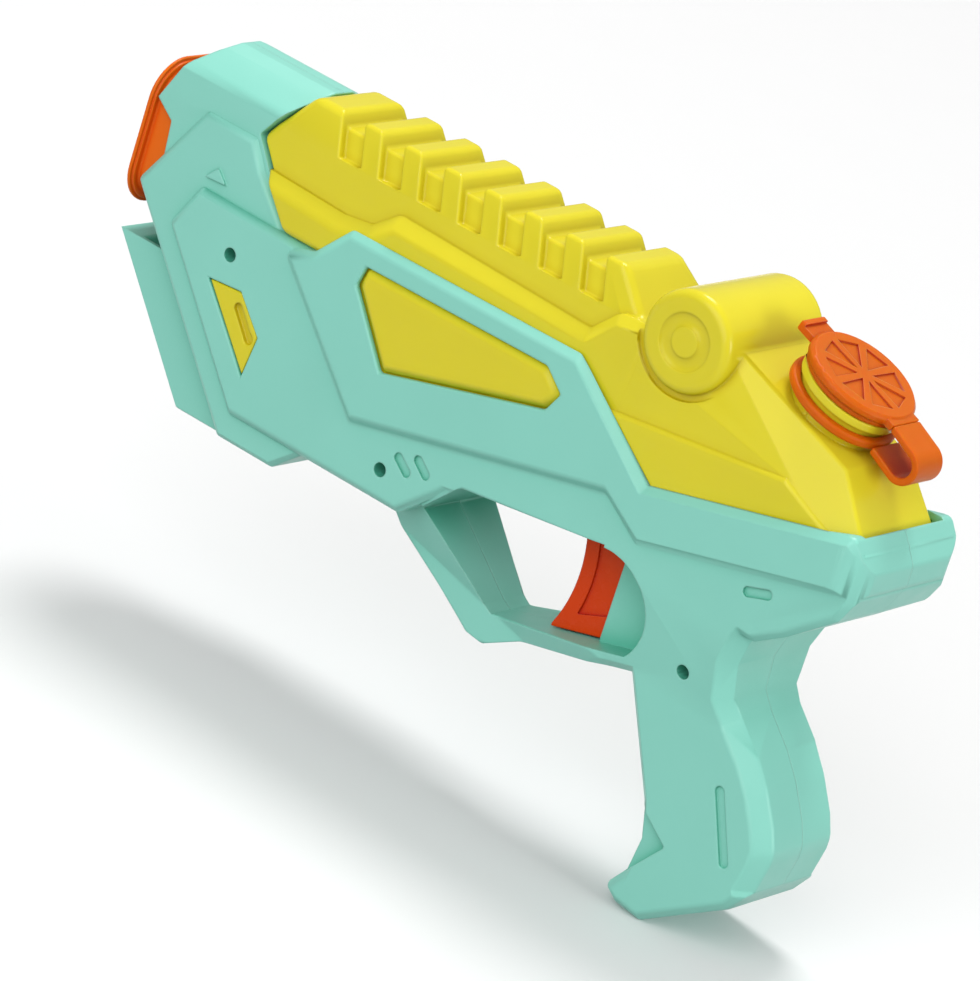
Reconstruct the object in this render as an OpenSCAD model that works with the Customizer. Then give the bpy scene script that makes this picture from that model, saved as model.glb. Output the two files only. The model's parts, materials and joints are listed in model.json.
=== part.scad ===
// Toy water squirter: two moulded shells, a water tank on top, a stopper cap on a strap,
// and a trigger that works a small piston pump.
// The muzzle points to -x, the tail to +x, y runs across and z is up from the toe of the grip.
// Outlines are drawn in side view as [x, z]; up(d) is a height above the barrel axis.

/* [Overall] */
// Length from the muzzle face to the tail
overall_length = 255; // [251:0.5:259]
// Height of the barrel axis above the toe of the grip
barrel_height = 122.5; // [120:0.5:125]

/* [Body shells] */
// Wall of the two shells
wall = 2; // [1.7:0.1:2.3]
// Width across the shroud's roof
roof_width = 37; // [36:0.5:38]
// Width across the fore end
core_width = 40; // [39:0.5:41]
// Width across the flat side panels
panel_width = 44.6; // [44:0.2:45.4]
// Width across the raised frames
frame_width = 49; // [48.6:0.2:50]
// Width across the tongue under the muzzle
tongue_width = 27; // [24:0.5:30]
// Width across the grip and the trigger guard
grip_width = 35; // [33:0.5:36]
// Width across the throat that the trigger slides into
throat_width = 19; // [18.6:0.2:21]
// Bevel along the edges of the shroud and the tongue
core_bevel = 1.4; // [0.8:0.1:2]
// Bevel along the edges of the side panels
panel_bevel = 1.7; // [1:0.1:2.2]
// Bevel along the edges of the raised frames
frame_bevel = 2.3; // [1.5:0.1:2.8]
// Bevel along the front edges of the grip
grip_bevel = 2; // [1.5:0.1:2.6]
// Bevel along the back edges of the grip
grip_back_bevel = 4.2; // [3:0.1:5]
// Slope of the raked front edges, from level
rake = 48; // [46:0.5:50]
// Gap between the two shells at the seam
seam = 0.1; // [0.05:0.05:0.2]
// Gap between pieces that are fitted into each other
fit = 0.25; // [0.15:0.05:0.35]

/* [Screws] */
// Diameter of a screw head
screw_head_d = 3.4; // [3:0.1:3.8]
// Diameter of a screw shank
screw_d = 2; // [1.8:0.1:2.2]
// Length of a screw under its head
screw_length = 18; // [16:0.5:20]
// Depth of a head below the side panel
screw_sink = 12; // [11:0.5:13]

/* [Water tank] */
// Width across the tank
tank_width = 44; // [43:0.2:44.2]
// Wall of the tank
tank_wall = 2; // [1.6:0.1:2.4]
// Width of the bevel along the tank's shoulder
shoulder = 3.6; // [2.5:0.1:4.2]
// Height of the rail's top above the barrel axis
rail_rise = 33.5; // [32:0.5:35]
// Width across the rail's top
rail_top_width = 26; // [24:0.5:28]
// Width across the rail where the slots end
rail_slot_width = 34; // [33:0.5:35]
// Number of slots across the rail
slot_count = 7; // [5:1:7]
// Spacing of the slots
slot_pitch = 13.8; // [13.4:0.1:14]
// Width of a slot
slot_width = 7.6; // [6.5:0.1:8.5]
// Depth of a slot in the rail's top
slot_depth = 4; // [3:0.1:4.5]
// Depth of a slot in the rail's sides
slot_side_depth = 2.4; // [1.8:0.1:3]
// Lean of the slots from upright
slot_lean = 27; // [20:1:30]
// Radius of the round boss across the tank
boss_r = 13.6; // [12.4:0.1:14]
// Length of the round boss across the tank
boss_length = 45; // [43:0.5:46]

/* [Filler] */
// Tilt of the filler neck towards the tail
neck_tilt = 20; // [18:0.5:22]
// Radius of the filler bore
neck_bore_r = 11; // [10:0.25:11.5]
// Wall of the filler neck
neck_wall = 2; // [1.6:0.1:2.4]
// Height of the filler neck above the tank
neck_height = 8.8; // [8.4:0.1:9.4]
// Radius of the collar at the top of the neck
collar_r = 14.6; // [14.2:0.1:15]
// Thickness of the collar
collar_t = 2.4; // [2:0.1:2.8]
// Radius of the cap
cap_r = 15.8; // [15.4:0.1:16.6]
// Thickness of the cap above the collar
cap_t = 4.4; // [4:0.1:5]
// Depth of the cap's plug in the neck
plug_depth = 4; // [3:0.25:4.5]
// Gap between the plug and the filler bore
plug_gap = 0.5; // [0.4:0.05:0.8]
// Outer radius of the strap's ring round the neck
ring_r = 15.9; // [15.6:0.1:16.6]
// Thickness of the strap's ring
ring_t = 2.6; // [2.2:0.1:3]
// Width of the strap
strap_width = 12; // [10:0.5:13]
// Thickness of the strap
strap_t = 2; // [1.6:0.1:2.4]

/* [Pump and trigger] */
// Slope of the pump and of the guard's floor, from level
pump_tilt = 15; // [14:0.25:16]
// Width across the trigger
trigger_width = 15.2; // [14:0.2:15.6]
// Depth of the trigger from front to back
trigger_depth = 15; // [14:0.25:15.5]
// Pull of the trigger
stroke = 11; // [9:0.5:11.5]
// Bore radius of the pump
pump_bore_r = 5.5; // [5:0.1:5.8]
// Wall of the pump
pump_wall = 1.5; // [1.2:0.1:1.7]
// Radius of the piston rod
rod_r = 3; // [2.5:0.1:3.2]
// Running gap of the piston and the trigger
run = 0.3; // [0.25:0.05:0.4]
// Turns of the return spring
spring_turns = 7; // [5:1:8]
// Wire radius of the return spring
spring_wire_r = 0.4; // [0.3:0.05:0.5]
// Radius of a pipe spigot
spigot_r = 2.3; // [2.1:0.1:2.5]
// Bore radius of the pipes
pipe_bore_r = 1.2; // [1:0.1:1.4]
// Wall of the hoses
hose_wall = 1.2; // [1:0.1:1.5]

/* [Muzzle] */
// Height of the muzzle bezel
bezel_height = 42.5; // [41:0.5:44]
// Width of the muzzle bezel
bezel_width = 38; // [37:0.5:39]
// Radius of the bezel's corners
bezel_corner_r = 11.5; // [10:0.5:13]
// Thickness of the bezel's flange
bezel_flange = 2.4; // [2:0.1:3]
// Radius of the jet's orifice
jet_r = 0.6; // [0.5:0.05:0.7]

/* [Hidden] */
$fn = 48;

teal = "#8FD6C8";
yellow = "#E6DA3C";
orange = "#E2701F";
natural = "#E9E7DF";
steel = "#B9BCC0";
rubber = "#303234";
clear_vinyl = "#D5DEDC";

// Fineness of the small bevels and of faceted pieces
bevel_fn = 16;
eps = 0.01;

muzzle_x = -overall_length / 2;
tail_x = overall_length / 2;
roof_half = roof_width / 2;
core_half = core_width / 2;
panel_half = panel_width / 2;
frame_half = frame_width / 2;
tongue_half = tongue_width / 2;
grip_half = grip_width / 2;
throat_half = throat_width / 2;
tank_half = tank_width / 2;
trigger_half = trigger_width / 2;
pump_r = pump_bore_r + pump_wall;

function up(d) = barrel_height + d;
function front(d) = muzzle_x + d;
function back(d) = tail_x - d;
// A point down a raked front edge that starts at p and drops by d
function raked(p, d) = [p.x + d / tan(rake), p.y - d];

// Fore end, from the lip under the muzzle round the chin and the tank's seat
core_lip = [front(5.5), up(-9.4)];
chin_drop = 54;
core_outline = [
    core_lip, raked(core_lip, chin_drop), [front(73.7), up(-63.4)], [front(83), up(-55)],
    [front(79), up(-40)], [front(79), up(-2.4)], [front(57), up(-2.4)], [front(44.4), up(9.8)],
    [front(39), up(17.2)], [front(21.4), up(17.2)], [front(12.1), up(1.8)]
];
// Shroud's roof: side view with the notch behind the bezel, and the half section across it
roof_low = up(-12);
roof_top = up(33.2);
roof_outline = [
    [front(3.8), up(13.5)], [front(9.6), up(26)], [front(14.6), roof_top], [front(51), roof_top],
    [front(39), up(18.5)], [front(45), up(11)], [front(57), up(-2.4)], [front(57), up(-10)],
    [front(12), up(-5)], [front(11), up(1.2)], [front(10.3), up(9.1)]
];
roof_section = [
    [0, roof_low], [roof_half, roof_low], [roof_half, up(24.6)], [roof_half * 0.9, up(27)],
    [roof_half * 0.46, up(31.6)], [roof_half * 0.2, roof_top], [0, roof_top]
];
// Tongue under the muzzle, open at the top
tongue_lip = [muzzle_x, up(-26.5)];
tongue_outline = [
    tongue_lip, raked(tongue_lip, 38.5), [front(54), up(-65)], [front(56), up(-50)],
    [front(24), up(-20)], [front(21), up(-26.5)]
];
tongue_well = [
    [front(7.5), up(-20)], [front(8), up(-26.5)], [front(22), up(-45)], [front(34), up(-45)],
    [front(18.5), up(-26.5)], [front(18.5), up(-20)]
];
// Flat side panel from the fore end to the tail
panel_lip = [front(20.9), up(-15.1)];
panel_drop = 40.1;
belly = panel_lip.y - panel_drop;
panel_outline = [
    panel_lip, raked(panel_lip, panel_drop), [back(137.5), belly], [back(125), up(-43)],
    [back(83), up(-36)], [back(70.5), up(-34)], [back(24.8), up(-36.2)], [back(16.4), up(-30.5)],
    [back(4), up(-20)], [back(0.8), up(-13)], [back(3), up(0)], [back(65.5), up(-16)],
    [back(95.5), up(6.4)], [front(83.5), up(5.8)], [front(74.5), up(-2.4)], [front(27.7), up(-1.8)]
];
// Raised frame round the side window, running back to the tail as a rim
frame_outline = [
    [front(59.5), up(-5)], [front(95.5), up(-39.2)], [back(78.3), up(-20.5)],
    [back(65.1), up(-28.7)], [tail_x, up(-12.2)], [tail_x, up(-5.5)], [back(6), up(2.8)],
    [back(67.3), up(-12.4)], [back(97.8), up(10.4)], [front(79.1), up(9.6)], [front(69.5), up(-1)]
];
// Radius of the rim's rear corners, in plan
rim_round = 9;
// Side window in the frame
window_outline = [
    [front(87.5), up(2.5)], [front(86.2), up(-3.3)], [back(153.8), up(-21.7)],
    [back(102.4), up(-7.8)], [back(99.3), up(-2)], [back(105.7), up(3.2)]
];
// Small window in the side panel, and the insert's flange behind it
inlay_outline = [
    [front(39), up(-23.1)], [front(58.2), up(-43.5)], [front(59.8), up(-31.3)],
    [front(50.6), up(-22.1)]
];
inlay_slot = [[front(51), up(-26.6)], [front(56.9), up(-33.2)]];
inlay_flange = 1.6;
inlay_flange_t = 1.2;
// Guard floor: its top line rises to the tail with the pump
floor_x = back(82.5);
floor_t = 4;
function floor_z(x) = up(-65.2) + (x - floor_x) * tan(pump_tilt);
// Trigger guard and grip, down to the toe
grip_front = [
    [back(152.5), up(-46)], [back(142.8), up(-63.1)], [back(126.7), up(-72)],
    [back(113.9), up(-80.2)], [back(108.1), up(-80.9)],
    [back(97), floor_z(back(97)) - 1.4 * floor_t], [back(66.5), floor_z(back(66.5)) - floor_t],
    [back(58.4), up(-62.6)], [back(43), 30.7], [back(40.3), 20.3], [back(41.3), 10.9],
    [back(46.1), 4.2], [back(41.5), 1], [back(33), 0], [back(9.6), 15.8]
];
grip_back = [
    [back(5), 22.7], [back(3.4), 31], [back(3.4), 35], [back(5.9), 41], [back(10.9), 49],
    [back(16.4), 55.7], [back(24.4), up(-59.5)], [back(28.2), up(-55)], [back(29.1), up(-45.5)],
    [back(26.9), up(-37.5)], [back(16.4), up(-30.5)], [back(4), up(-19)]
];
grip_top = [
    [back(2), up(-13)], [back(68.5), up(-30)], [back(87.5), up(-32)], [back(125.5), up(-37)],
    [back(152.5), up(-40)]
];
grip_outline = concat(grip_front, grip_back, grip_top);
// The same back edges with the front well clear, for the wide bevel at the back
grip_clear = [[back(187.5), up(0)], [back(187.5), -12], [back(35.5), -12], [tail_x + 0.5, 12]];
grip_back_outline = concat(grip_clear, grip_back, [[tail_x, up(0)]]);
// Triangle sunk into each side of the grip above the toe
toe_notch = [
    [back(47.5), 38], [back(42.2), 29.6], [back(31.8), 22.5], [back(41.2), 10.4], [back(49.5), 8]
];
toe_notch_depth = 2.5;
grip_inner = grip_half - toe_notch_depth - wall;
// Levels between which the grip widens to the side panels
hip_low = up(-62);
hip_high = up(-37);
hip_top = up(-12);
// The guard narrows below a line from the belly to the grip, down to a least half width
guard_line = [[back(132.5), up(-49)], [back(63.5), up(-65)]];
guard_taper = 27.8;
guard_half = 9;
// Finger opening of the guard
throat_x = back(74);
finger_outline = [
    [back(133.5), up(-52.4)], [back(111), up(-70.5)], [back(108), floor_z(back(108))],
    [throat_x, floor_z(throat_x)], [throat_x, up(-32.8)], [back(83), up(-34.4)],
    [back(121), up(-39.7)]
];
// Round pocket beside the throat
pocket_centre = [back(72.3), up(-48.9)];
pocket_r = 15.4;
// Rise of the throat's floor over the guard's
throat_step = 0.1;
// Space that the trigger sweeps
way_front = floor_x - 9;
way_back = throat_x + 14;
trigger_way = [
    [way_front, up(-42)], [way_front, up(-31.5)], [way_back, up(-29)],
    [way_back, floor_z(way_back) + throat_step],
    [throat_x - 1, floor_z(throat_x - 1) + throat_step], [throat_x - 1, up(-42)]
];
// Decorative grooves: ends in side view, width and depth
groove_width = 2.8;
groove_depth = 0.8;
belly_grooves = [
    [[back(141.5), up(-40.7)], [back(137.9), up(-43.3)]],
    [[back(135.4), up(-38.6)], [back(132), up(-41.2)]]
];
tail_groove = [[back(30.3), up(-24.4)], [back(24.6), up(-22.5)]];
grip_groove = [[back(21.9), 44.2], [back(14.2), 27.5]];
// Small raised arrow on the fore end
arrow_outline = [[front(27.3), up(1)], [front(34.8), up(1.5)], [front(30.9), up(5)]];
arrow_rise = 0.7;
// Screws, in side view
screw_spots = [[front(43.7), up(-14.4)], [back(145.9), up(-46.4)], [back(42.3), up(-54)]];
screw_boss_wall = 1.4;
screw_head_t = 1.5;
head_seat = screw_sink - panel_half;

// Tank: lower body with its shoulder, which is bevelled along the top only
shoulder_line = [
    [front(72.5), up(10.2)], [front(81.5), up(11.4)], [front(89), up(17.6)],
    [back(100.5), up(15.7)], [back(93), up(23.6)], [back(81.5), up(24.2)]
];
tank_front = [[front(57.6), up(-1.9)], [front(45.6), up(11.2)]];
tank_under = [
    [back(84), up(-1)], [back(84), up(-15.2)], [back(101), up(-12.4)], [front(89.5), up(-25)],
    [front(77.5), up(-8)], [front(69.4), up(-1.9)]
];
tank_outline = concat(tank_front, shoulder_line, tank_under);
shoulder_outline = concat([[front(30), up(-45)], [front(30), up(12.3)]], shoulder_line, [
    [back(67.5), up(24.9)], [back(67.5), up(-45)]]);
// Upper block that carries the rail
rail_top = up(rail_rise);
rail_slot_foot = up(22.5);
rail_foot = up(5);
rail_outline = [
    [front(49.3), rail_top], [front(39.4), up(18.5)], [front(46), up(10.8)], [front(52), up(5)],
    [back(88.5), up(5)], [back(85.5), up(22)], [back(99), rail_top]
];
rail_lean = (rail_slot_width - rail_top_width) / 2 / (rail_top - rail_slot_foot);
rail_flare = 1.2;
rail_top_half = rail_top_width / 2;
slot_floor = rail_top - slot_depth;
slot_floor_half = rail_top_half + rail_lean * slot_depth - slot_side_depth;
slot_first = front(58.7);
boss_x = back(70.5);
boss_z = up(26.2);
boss_seat_r = boss_r + 1.9;
boss_seat_half = 19.6;
boss_round = 2.6;
boss_ring_r = boss_r * 0.43;
boss_ring_half = 1.9;
boss_ring_depth = 0.9;
// Corners of the block behind the boss, for one side: [x, half width, z]
rear_round = 1.5;
sill_half = tank_half - rear_round;
rear_half = sill_half - 1.2;
rear_fn = 24;
rear_top_half = 14;
rear_face = [back(7.7), 15.7];
rear_corners = [
    [back(65.5), rear_top_half + 0.5, up(30)], [back(19.8), rear_top_half, up(13.1)],
    [rear_face.x, rear_face.y, up(-1.5)], [rear_face.x, rear_face.y, up(-4)],
    [back(15.5), rear_half, up(-4)], [back(66.5), rear_half, up(-16.4)],
    [back(29), rear_half, up(6.2)], [back(91.5), rear_half, up(-4)], [back(91.5), rear_half, up(18)]
];
// Lower side of that block, which stands out a little below a crease
rear_sill = [
    [back(87.5), sill_half, up(-1.5)], [back(31), sill_half, up(5.6)],
    [back(15.5), rear_half - 0.1, up(-2)], [back(15.5), rear_half - 0.1, up(-4.2)],
    [back(66.5), sill_half, up(-16.4)], [back(87.5), sill_half, up(-12)]
];
// Plan of the lower body, drawn in behind to meet that block flush
tank_taper = [[front(30), tank_half], [back(108), tank_half], [back(84), rear_half + rear_round],
              [back(67.5), rear_half + rear_round]];
tank_tail = rear_face.x + rear_round;
tank_tail_half = rear_face.y + rear_round + 1;
// Pad that fills the side window
pad_half = frame_half - 0.3;
pad_bevel = 1.6;

// Filler neck, strap and cap, in a frame on the tank's sloping top
neck_x = back(35.4);
neck_z = up(20.9);
neck_r = neck_bore_r + neck_wall;
cap_seat = neck_height + run;
ring_lift = 2.2;
loop_u = 24.6;
loop_w = 6.8;
loop_r = 4.3;

// Pump frame: x runs back along the stroke and z is square to it
pump_x = back(73.5);
pump_z = up(-44.5);
cylinder_front = 12.5;
gland_t = 2.5;
piston_front = cylinder_front + gland_t + run;
piston_length = 5.5;
spring_front = piston_front + piston_length;
cylinder_back = 40.5;
cylinder_floor = cylinder_back - 1.7;
port_at = 35.6;
port_y = 4.3;
spigot_top = 13.5;
spout_low = 15.5;
spout_high = 28;
chamber_low = 8.5;
chamber_high = 11.5;
elbow_z = 15;
elbow_r = 3.2;
elbow_barb = 17;
saddles = [19, 28];
saddle_t = 1.6;

// Muzzle pieces along the barrel axis, measured back from the muzzle face
bezel_front = 0.5;
bezel_rise = 2.4;
bezel_back = 16.5;
bezel_step = 2.8;
bezel_dish_r = 14;
bezel_dish = 2.8;
jet_front = 6;
jet_flange_at = bezel_back + 1;
jet_end = 30;
jet_r_out = 4;

// Route of the outlet hose from the nozzle back to the elbow
hose_bore_r = pipe_bore_r + 0.55;
hose_r = hose_bore_r + hose_wall;
function in_pump(x, y, z) = [
    pump_x + x * cos(pump_tilt) - z * sin(pump_tilt), y, pump_z + x * sin(pump_tilt) + z * cos(pump_tilt)
];
hose_route = [
    [front(21.5), 0, up(0)], [front(30), 0, up(0)], [front(36), 0, up(-1.5)],
    [front(42), 0, up(-4)], [front(50.2), 0, up(-10.8)], [front(57), 0, up(-18)],
    [front(65), 0, up(-26)], [front(76), 0, up(-30.5)], [front(90), 0, up(-32)],
    [back(147.5), 0, up(-31.5)], [back(127.5), 0, up(-30.5)], [back(107.5), -1.5, up(-29.2)],
    [back(89.5), -3.5, up(-28.2)], [back(77.5), -port_y, up(-26.6)], in_pump(10, -port_y, elbow_z),
    in_pump(24, -port_y, elbow_z)
];

// Extrudes a side view from y0 to y1
module side(y0, y1) {
    translate([0, y1, 0]) rotate([90, 0, 0]) linear_extrude(y1 - y0) children();
}

// Extrudes a cross section, drawn as [y, z], from x0 to x1
module across(x0, x1) {
    translate([x0, 0, 0]) rotate([90, 0, 90]) linear_extrude(x1 - x0) children();
}

// Half of a moulded panel, from the seam out to y = half, with a bevel round its outer edge
module half_panel(half, bevel) {
    minkowski() {
        side(0, half - bevel) offset(delta = -bevel) children();
        rotate([-90, 0, 0]) cylinder(h = bevel, r1 = bevel, r2 = 0, $fn = bevel_fn);
    }
}

// A panel across both sides, with a bevel round both outer edges
module whole_panel(half, bevel) {
    minkowski() {
        side(bevel - half, half - bevel) offset(delta = -bevel) children();
        union() {
            rotate([-90, 0, 0]) cylinder(h = bevel, r1 = bevel, r2 = 0, $fn = bevel_fn);
            rotate([90, 0, 0]) cylinder(h = bevel, r1 = bevel, r2 = 0, $fn = bevel_fn);
        }
    }
}

// A groove with round ends between two points of a side view
module groove(ends, width) {
    straight = 0.97 * width;
    span = ends[1] - ends[0];
    for (p = ends) translate(p) circle(d = width);
    translate(ends[0]) rotate(atan2(span.y, span.x)) translate([0, -straight / 2])
        square([norm(span), straight]);
}

module at_neck() {
    translate([neck_x, 0, neck_z]) rotate([0, neck_tilt, 0]) children();
}

module at_pump() {
    translate([pump_x, 0, pump_z]) rotate([0, -pump_tilt, 0]) children();
}

// Cylinder along the pump axis between two places
module along_pump(x0, x1, r) {
    translate([x0, 0, 0]) rotate([0, 90, 0]) cylinder(h = x1 - x0, r = r);
}

// Cylinder along the barrel axis, placed by distances back from the muzzle face
module along_barrel(d0, d1, r) {
    translate([front(d0), 0, barrel_height]) rotate([0, 90, 0]) cylinder(h = d1 - d0, r = r);
}

function unit(v) = v / norm(v);
function tangents(path) = [
    for (i = [0 : len(path) - 1])
        unit(path[min(i + 1, len(path) - 1)] - path[max(i - 1, 0)])
];
// One ring of points round p, square to t; axis keeps the rings from twisting
function ring(p, t, axis, r, sides) =
    let (u = unit(cross(axis, t)), v = cross(t, u))
    [for (k = [0 : sides - 1]) p + r * (cos(360 * k / sides) * u + sin(360 * k / sides) * v)];
function rings(path, axis, r, sides) =
    let (t = tangents(path))
    [for (i = [0 : len(path) - 1]) each ring(path[i], t[i], axis, r, sides)];
function skin(count, sides, first) = [
    for (i = [0 : count - 2], k = [0 : sides - 1])
        let (a = first + i * sides + k, b = first + i * sides + (k + 1) % sides)
        each [[a, b, b + sides], [a, b + sides, a + sides]]
];
function flipped(faces) = [for (f = faces) [f[2], f[1], f[0]]];

// Solid wire along a path
module wire(path, axis, r, sides) {
    count = len(path);
    last = (count - 1) * sides;
    caps = [[for (k = [0 : sides - 1]) sides - 1 - k], [for (k = [0 : sides - 1]) last + k]];
    polyhedron(rings(path, axis, r, sides), concat(flipped(skin(count, sides, 0)), flipped_caps(caps)));
}
function flipped_caps(caps) = [for (c = caps) [for (k = [len(c) - 1 : -1 : 0]) c[k]]];

// Hose along a path, with its bore open at both ends
module hose(path, axis, r, bore, sides) {
    count = len(path);
    inner = count * sides;
    last = (count - 1) * sides;
    ends = [
        for (k = [0 : sides - 1])
            let (n = (k + 1) % sides)
            each [[k, n, inner + n], [k, inner + n, inner + k],
                  [last + n, last + k, inner + last + k], [last + n, inner + last + k, inner + last + n]]
    ];
    polyhedron(
        concat(rings(path, axis, r, sides), rings(path, axis, bore, sides)),
        concat(flipped(skin(count, sides, 0)), skin(count, sides, inner), ends));
}

// Section of the grip, which widens upwards to the side panels, drawn in by inset
module hip(inset) {
    foot = -20;
    polygon([[-1, foot], [grip_half - inset, foot], [grip_half - inset, hip_low],
             [panel_half - inset, hip_high], [panel_half - inset, hip_top], [-1, hip_top]]);
}

// Half of the grip inside a side view, with a bevel round its outer edge
module grip_panel(outline, bevel) {
    minkowski() {
        intersection() {
            side(0, panel_half) offset(delta = -bevel) polygon(outline);
            across(muzzle_x, tail_x) hip(bevel);
        }
        rotate([-90, 0, 0]) cylinder(h = bevel, r1 = bevel, r2 = 0, $fn = bevel_fn);
    }
}

// Wedge beside the guard that narrows it towards its front corner
module guard_wedge() {
    span = guard_line[1] - guard_line[0];
    difference() {
        translate([guard_line[0].x, grip_half, guard_line[0].y]) rotate([0, -atan2(span.y, span.x), 0])
            rotate([-guard_taper, 0, 0]) translate([-30, 0, -60]) cube([norm(span) + 30, panel_half, 60]);
        side(0, guard_half) translate([muzzle_x, 0]) square([overall_length, barrel_height]);
    }
}

// Outer skin of one shell, on the +y side
module shell_skin() {
    half_panel(core_half, core_bevel) polygon(core_outline);
    intersection() {
        side(0, roof_half) polygon(roof_outline);
        across(muzzle_x, front(60)) polygon(roof_section);
    }
    side(0, tongue_half) polygon(tongue_outline);
    difference() {
        union() {
            half_panel(panel_half, panel_bevel) polygon(panel_outline);
            half_panel(frame_half, frame_bevel) polygon(frame_outline);
            difference() {
                intersection() {
                    grip_panel(grip_outline, grip_bevel);
                    grip_panel(grip_back_outline, grip_back_bevel);
                }
                guard_wedge();
                side(grip_half - toe_notch_depth, grip_half + 1) polygon(toe_notch);
            }
        }
        linear_extrude(up(20)) translate([back(rim_round), frame_half - rim_round]) difference() {
            square(rim_round + 1);
            circle(r = rim_round);
        }
    }
}

// Hollow of one shell, on the +y side
module shell_hollow() {
    side(-1, core_half - wall) offset(delta = -wall) polygon(core_outline);
    intersection() {
        side(-1, roof_half) offset(delta = -wall) polygon(roof_outline);
        across(muzzle_x, front(60)) translate([0, -wall]) polygon([
            [-1, roof_low], [roof_half - wall, roof_low], [roof_half - wall, up(24.6)],
            [roof_half * 0.5, roof_top - wall], [-1, roof_top - wall]]);
    }
    side(-1, tongue_half - wall) polygon(tongue_well);
    intersection() {
        union() {
            side(-1, panel_half - wall) offset(delta = 1.5) offset(delta = -wall - 1.5) difference() {
                polygon(panel_outline);
                polygon(finger_outline);
            }
            side(-1, frame_half - wall) offset(delta = -wall) polygon(frame_outline);
        }
        translate([muzzle_x, -2, 0]) cube([tank_tail - muzzle_x - 4, frame_width, 2 * barrel_height]);
    }
    intersection() {
        side(-1, panel_half) offset(delta = 1.5) offset(delta = -wall - 3) difference() {
            polygon(grip_outline);
            polygon(finger_outline);
        }
        across(throat_x, tail_x - 12) hip(grip_half - grip_inner);
    }
    // Well for the tank, and the mouth for the muzzle bezel
    intersection() {
        side(-1, tank_half + fit) offset(delta = fit) tank_side();
        linear_extrude(2 * barrel_height) polygon([
            [muzzle_x, -2], [muzzle_x, frame_half], [back(14.4) + fit, frame_half],
            [back(14.4) + fit, tank_half + fit], [tank_tail + fit, tank_tail_half], [tank_tail + fit, -2]]);
    }
    bezel_room(bezel_back + 1, bezel_step - fit);
    bezel_room(bezel_front + bezel_flange + fit, -fit);
}

// Room for the bezel in one shell, from the muzzle face back to a distance
module bezel_room(depth, inset) {
    across(front(-1), front(depth)) translate([0, up(bezel_rise)]) intersection() {
        bezel_section(inset);
        translate([-1, -bezel_height]) square([bezel_width, 2 * bezel_height]);
    }
}

// What the tank fills inside the shells, in side view
module tank_side() {
    polygon(tank_outline);
    polygon([
        [back(85.5), up(30)], [back(85.5), up(-14.2)], [back(66.5), up(-18.2)],
        [back(64.5), up(-18.2)], [tank_tail, up(-5.8)], [tank_tail, up(30)]]);
    polygon(rail_outline);
}

// What stays solid inside the hollow: throat walls, pump webs and screw bosses
module shell_kept() {
    side(trigger_half + run, panel_half) intersection() {
        translate(pocket_centre) circle(r = pocket_r + wall);
        translate([throat_x, up(-80)]) square([pocket_r + 2 * wall, 60]);
    }
    pump_saddles();
    screw_bosses();
}

// Half of the body on the +y side, without its screw holes
module shell_half() {
    difference() {
        union() {
            shell_skin();
            side(core_half - 1, core_half + arrow_rise) polygon(arrow_outline);
        }
        difference() {
            shell_hollow();
            shell_kept();
        }
        translate([-overall_length, seam / 2 - 10, -1]) cube([2 * overall_length, 10, 2 * barrel_height]);
        side(-1, frame_half + 1) polygon(finger_outline);
        side(throat_half, frame_half) intersection() {
            translate(pocket_centre) circle(r = pocket_r);
            polygon([[throat_x - 2, floor_z(throat_x - 2) + throat_step],
                     [throat_x + 20, floor_z(throat_x + 20) + throat_step],
                     [throat_x + 20, up(-30)], [throat_x - 2, up(-30)]]);
        }
        side(-1, trigger_half + run) polygon(trigger_way);
        side(tank_half - 2, frame_half + 1) polygon(window_outline);
        side(core_half - 4, panel_half + 1) polygon(inlay_outline);
        side(panel_half - groove_depth, panel_half + 1) {
            for (g = belly_grooves) groove(g, groove_width);
            groove(tail_groove, groove_width);
        }
        side(grip_half - groove_depth, grip_half + 1) groove(grip_groove, groove_width);
        at_pump() along_pump(cylinder_front - 2, cylinder_back + 1, pump_r + fit);
    }
}

// Webs in each shell that hold the pump
module pump_saddles() {
    at_pump() for (x = saddles) translate([x, 0, -pump_r - 2])
        cube([saddle_t, panel_half, 2 * pump_r + 4]);
}

module screw_bosses() {
    for (p = screw_spots) translate([p.x, 0, p.y]) rotate([-90, 0, 0])
        cylinder(h = panel_half, r = screw_head_d / 2 + screw_boss_wall);
}

// A hole across the body at every screw, from y0 to y1
module screw_holes(y0, y1, d) {
    for (p = screw_spots) translate([p.x, y0, p.y]) rotate([-90, 0, 0]) cylinder(h = y1 - y0, d = d);
}

module left_shell() {
    color(teal) difference() {
        mirror([0, 1, 0]) shell_half();
        screw_holes(-frame_half - 1, head_seat, screw_head_d + 2 * fit);
        screw_holes(head_seat - 1, 1, screw_d + 2 * fit);
    }
}

module right_shell() {
    color(teal) difference() {
        shell_half();
        screw_holes(-1, head_seat + screw_length + 1, screw_d + fit);
    }
}

module shell_screws() {
    color(steel) for (p = screw_spots) translate([p.x, head_seat, p.y]) rotate([-90, 0, 0]) {
        difference() {
            translate([0, 0, -screw_head_t]) cylinder(h = screw_head_t, d = screw_head_d);
            for (a = [0, 90]) rotate(a) translate([-1.2, -0.3, -screw_head_t - 1]) cube([2.4, 0.6, 1.9]);
        }
        cylinder(h = screw_length, d = screw_d);
    }
}

// Insert that shows in the small window, with a flange behind the panel
module inlay() {
    color(yellow) difference() {
        union() {
            side(panel_half - wall, panel_half - 0.3) offset(delta = -fit) polygon(inlay_outline);
            side(panel_half - wall - inlay_flange_t, panel_half - wall)
                offset(delta = inlay_flange) polygon(inlay_outline);
        }
        side(panel_half - 1.6, panel_half) groove(inlay_slot, groove_width);
    }
}

module left_inlay() {
    mirror([0, 1, 0]) inlay();
}

module right_inlay() {
    inlay();
}

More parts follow.
